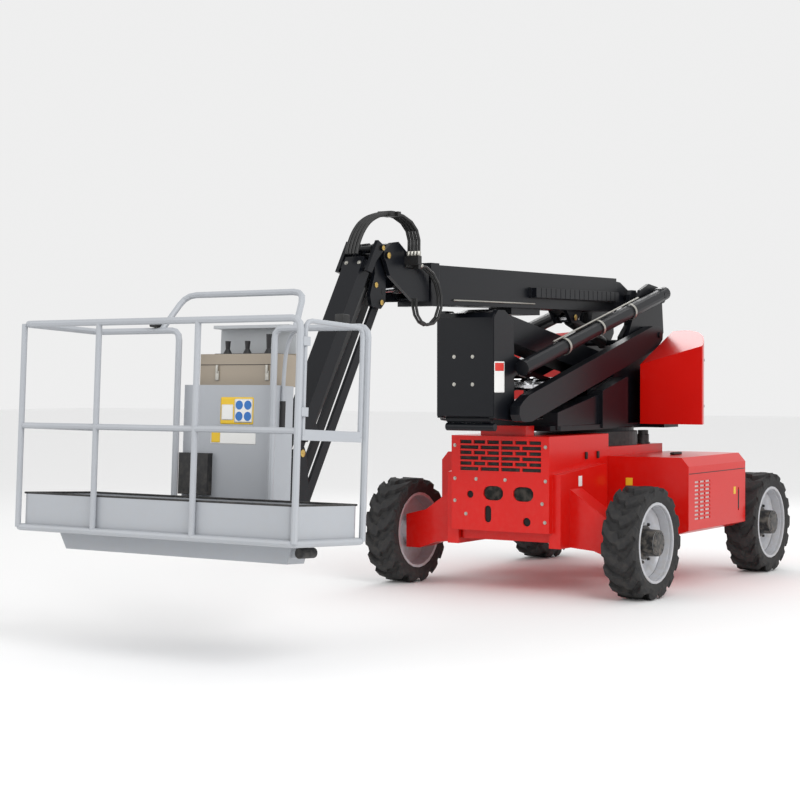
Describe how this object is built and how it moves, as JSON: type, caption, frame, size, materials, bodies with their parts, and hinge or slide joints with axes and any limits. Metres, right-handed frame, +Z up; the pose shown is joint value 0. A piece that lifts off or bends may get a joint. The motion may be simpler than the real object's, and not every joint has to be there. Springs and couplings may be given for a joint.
{
  "type": "articulating boom lift",
  "caption": "Articulating boom lift: wheeled chassis with a slewing turret, folding riser, telescopic boom, jib and a railed work basket.",
  "frame": {"origin": "on the ground at the middle of the overall length and width", "axes": "+X towards the basket, +Y the machine's left side, +Z up"},
  "size_m": [7.0754, 2.38, 2.7869],
  "materials": {
    "red_paint": "gloss paint",
    "black_paint": "satin paint",
    "grey_paint": "satin paint",
    "tyre_rubber": "matt rubber",
    "silver_paint": "silver paint",
    "dark_casting": "satin black",
    "chromed_rod": "polished",
    "beige_box": "satin paint",
    "hose_rubber": "satin rubber"
  },
  "bodies": {
    "chassis": {"chassis_frame": "red_paint", "side_box_left": "red_paint", "side_box_right": "red_paint", "slew_bearing": "dark_casting"},
    "knuckle_left": {"steer_knuckle_left": "dark_casting"},
    "knuckle_right": {"steer_knuckle_right": "dark_casting"},
    "wheel_fl": {"tyre_fl": "tyre_rubber", "wheel_fl": "silver_paint"},
    "wheel_fr": {"tyre_fr": "tyre_rubber", "wheel_fr": "silver_paint"},
    "wheel_rl": {"tyre_rl": "tyre_rubber", "wheel_rl": "silver_paint"},
    "wheel_rr": {"tyre_rr": "tyre_rubber", "wheel_rr": "silver_paint"},
    "turret": {"turret_frame": "black_paint", "tail_hood": "red_paint"},
    "lower_arm": {"lower_arm": "black_paint"},
    "tube_link": {"tube_link": "black_paint"},
    "front_knuckle": {"front_knuckle": "black_paint"},
    "upper_arm": {"upper_arm": "black_paint"},
    "upper_link": {"upper_link": "black_paint"},
    "rear_knuckle": {"rear_knuckle": "black_paint"},
    "riser_ram_barrel": {"riser_ram_barrel": "dark_casting"},
    "riser_ram_rod": {"riser_ram_rod": "chromed_rod"},
    "boom": {"boom_outer": "black_paint"},
    "lift_ram_barrel": {"lift_ram_barrel": "dark_casting"},
    "lift_ram_rod": {"lift_ram_rod": "chromed_rod"},
    "fly": {"boom_inner": "black_paint", "head_hoses": "hose_rubber"},
    "jib_knuckle": {"jib_knuckle": "black_paint", "hose_arch": "hose_rubber"},
    "level_ram_barrel": {"level_ram_barrel": "dark_casting"},
    "level_ram_rod": {"level_ram_rod": "chromed_rod"},
    "jib": {"jib_beam": "black_paint"},
    "jib_link": {"jib_link": "black_paint"},
    "jib_ram_barrel": {"jib_ram_barrel": "dark_casting"},
    "jib_ram_rod": {"jib_ram_rod": "chromed_rod"},
    "mount": {"basket_mount": "black_paint"},
    "basket": {"console": "grey_paint", "control_box": "beige_box", "joysticks": "dark_casting", "document_box": "dark_casting", "basket_frame": "grey_paint", "basket_floor": "grey_paint"},
    "gate": {"gate": "grey_paint"}
  },
  "joints": [
    {"name": "wheel_fl_spin", "type": "hinge", "parent": "chassis", "child": "wheel_fl", "pos_m": [-0.81525, 1.05, 0.4225], "axis": [0, 1, 0], "continuous": true},
    {"name": "wheel_fr_spin", "type": "hinge", "parent": "chassis", "child": "wheel_fr", "pos_m": [-0.81525, -1.05, 0.4225], "axis": [0, 1, 0], "continuous": true},
    {"name": "steer_left", "type": "hinge", "parent": "chassis", "child": "knuckle_left", "pos_m": [-3.11525, 0.965, 0.4225], "axis": [0, 0, 1], "range_deg": [-25, 25]},
    {"name": "steer_right", "type": "hinge", "parent": "chassis", "child": "knuckle_right", "pos_m": [-3.11525, -0.965, 0.4225], "axis": [0, 0, 1], "range_deg": [-25, 25]},
    {"name": "wheel_rl_spin", "type": "hinge", "parent": "knuckle_left", "child": "wheel_rl", "pos_m": [-3.11525, 1.05, 0.4225], "axis": [0, 1, 0], "continuous": true},
    {"name": "wheel_rr_spin", "type": "hinge", "parent": "knuckle_right", "child": "wheel_rr", "pos_m": [-3.11525, -1.05, 0.4225], "axis": [0, 1, 0], "continuous": true},
    {"name": "slew", "type": "hinge", "parent": "chassis", "child": "turret", "pos_m": [-1.96525, 0, 1.24], "axis": [0, 0, 1], "range_deg": [-177.5, 177.5]},
    {"name": "riser_lift", "type": "hinge", "parent": "turret", "child": "lower_arm", "pos_m": [-2.62525, 0, 2.02], "axis": [0, -1, 0], "range_deg": [0, 60]},
    {"name": "tube_link_turn", "type": "hinge", "parent": "turret", "child": "tube_link", "pos_m": [-2.71525, 0, 2.36], "axis": [0, -1, 0], "range_deg": [0, 60]},
    {"name": "front_knuckle_level", "type": "hinge", "parent": "lower_arm", "child": "front_knuckle", "pos_m": [-0.26825, 0, 1.4], "axis": [0, 1, 0], "range_deg": [0, 60]},
    {"name": "upper_arm_lift", "type": "hinge", "parent": "front_knuckle", "child": "upper_arm", "pos_m": [-0.08525, 0, 2.09], "axis": [0, 1, 0], "range_deg": [0, 60]},
    {"name": "upper_link_turn", "type": "hinge", "parent": "front_knuckle", "child": "upper_link", "pos_m": [-0.12525, 0, 1.85], "axis": [0, 1, 0], "range_deg": [0, 60]},
    {"name": "rear_knuckle_level", "type": "hinge", "parent": "upper_arm", "child": "rear_knuckle", "pos_m": [-2.41525, 0, 1.69], "axis": [0, -1, 0], "range_deg": [0, 60]},
    {"name": "riser_ram_turn", "type": "hinge", "parent": "turret", "child": "riser_ram_barrel", "pos_m": [-2.08525, 0, 1.38], "axis": [0, -1, 0], "range_deg": [0, 59.37]},
    {"name": "riser_ram_stroke", "type": "slide", "parent": "riser_ram_barrel", "child": "riser_ram_rod", "axis": [0.9795, 0, 0.2014], "range_m": [0, 0.83732]},
    {"name": "boom_luff", "type": "hinge", "parent": "rear_knuckle", "child": "boom", "pos_m": [-2.45525, 0, 2.34], "axis": [0, -1, 0], "range_deg": [0, 65]},
    {"name": "lift_ram_turn", "type": "hinge", "parent": "rear_knuckle", "child": "lift_ram_barrel", "pos_m": [-2.26525, 0, 1.95], "axis": [0, -1, 0], "range_deg": [0, 56.13]},
    {"name": "lift_ram_stroke", "type": "slide", "parent": "lift_ram_barrel", "child": "lift_ram_rod", "axis": [0.9616, 0, 0.2745], "range_m": [0, 0.44474]},
    {"name": "boom_extend", "type": "slide", "parent": "boom", "child": "fly", "axis": [0.9999, 0, -0.0136], "range_m": [0, 1.9]},
    {"name": "jib_knuckle_level", "type": "hinge", "parent": "fly", "child": "jib_knuckle", "pos_m": [1.24075, 0, 2.483], "axis": [0, 1, 0], "range_deg": [0, 65]},
    {"name": "level_ram_turn", "type": "hinge", "parent": "fly", "child": "level_ram_barrel", "pos_m": [0.53475, 0, 2.31], "axis": [0, -1, 0], "range_deg": [0, 15.83]},
    {"name": "level_ram_stroke", "type": "slide", "parent": "level_ram_barrel", "child": "level_ram_rod", "axis": [0.9949, 0, -0.1009], "range_m": [-0.20719, 0]},
    {"name": "jib_lift", "type": "hinge", "parent": "jib_knuckle", "child": "jib", "pos_m": [1.30175, 0, 2.53], "axis": [0, -1, 0], "range_deg": [0, 95], "deforming": ["hose_arch"]},
    {"name": "jib_link_turn", "type": "hinge", "parent": "jib_knuckle", "child": "jib_link", "pos_m": [1.24675, 0, 2.165], "axis": [0, -1, 0], "range_deg": [0, 95]},
    {"name": "jib_ram_turn", "type": "hinge", "parent": "jib_knuckle", "child": "jib_ram_barrel", "pos_m": [1.30975, 0, 2.282], "axis": [0, -1, 0], "range_deg": [0, 97.45]},
    {"name": "jib_ram_stroke", "type": "slide", "parent": "jib_ram_barrel", "child": "jib_ram_rod", "axis": [0.558, 0, -0.8298], "range_m": [0, 0.36135]},
    {"name": "basket_level", "type": "hinge", "parent": "jib", "child": "mount", "pos_m": [2.14975, 0, 1.173], "axis": [0, 1, 0], "range_deg": [0, 95]},
    {"name": "basket_turn", "type": "hinge", "parent": "mount", "child": "basket", "pos_m": [2.47203, 0, 0.86983], "axis": [-0.0523, 0, 0.9986], "range_deg": [-75, 75]},
    {"name": "gate_swing", "type": "hinge", "parent": "basket", "child": "gate", "pos_m": [3.44054, 1.045, 1.36319], "axis": [-0.0523, 0, 0.9986], "range_deg": [0, 90]}
  ],
  "couplings": [
    {"joint": "steer_right", "follows": "steer_left", "ratio": 1},
    {"joint": "tube_link_turn", "follows": "riser_lift", "ratio": 1},
    {"joint": "front_knuckle_level", "follows": "riser_lift", "ratio": 1},
    {"joint": "upper_arm_lift", "follows": "riser_lift", "ratio": 1},
    {"joint": "upper_link_turn", "follows": "riser_lift", "ratio": 1},
    {"joint": "rear_knuckle_level", "follows": "riser_lift", "ratio": 1},
    {"joint": "riser_ram_turn", "follows": "riser_lift", "ratio": 0.98942},
    {"joint": "riser_ram_stroke", "follows": "riser_lift", "m_per_rad": 0.79949},
    {"joint": "lift_ram_turn", "follows": "boom_luff", "ratio": 0.86353},
    {"joint": "lift_ram_stroke", "follows": "boom_luff", "m_per_rad": 0.39194},
    {"joint": "jib_knuckle_level", "follows": "boom_luff", "ratio": 1},
    {"joint": "level_ram_turn", "follows": "boom_luff", "ratio": 0.24358},
    {"joint": "level_ram_stroke", "follows": "boom_luff", "m_per_rad": -0.18254},
    {"joint": "jib_link_turn", "follows": "jib_lift", "ratio": 1},
    {"joint": "jib_ram_turn", "follows": "jib_lift", "ratio": 1.0258},
    {"joint": "jib_ram_stroke", "follows": "jib_lift", "m_per_rad": 0.21788},
    {"joint": "basket_level", "follows": "jib_lift", "ratio": 1}
  ]
}
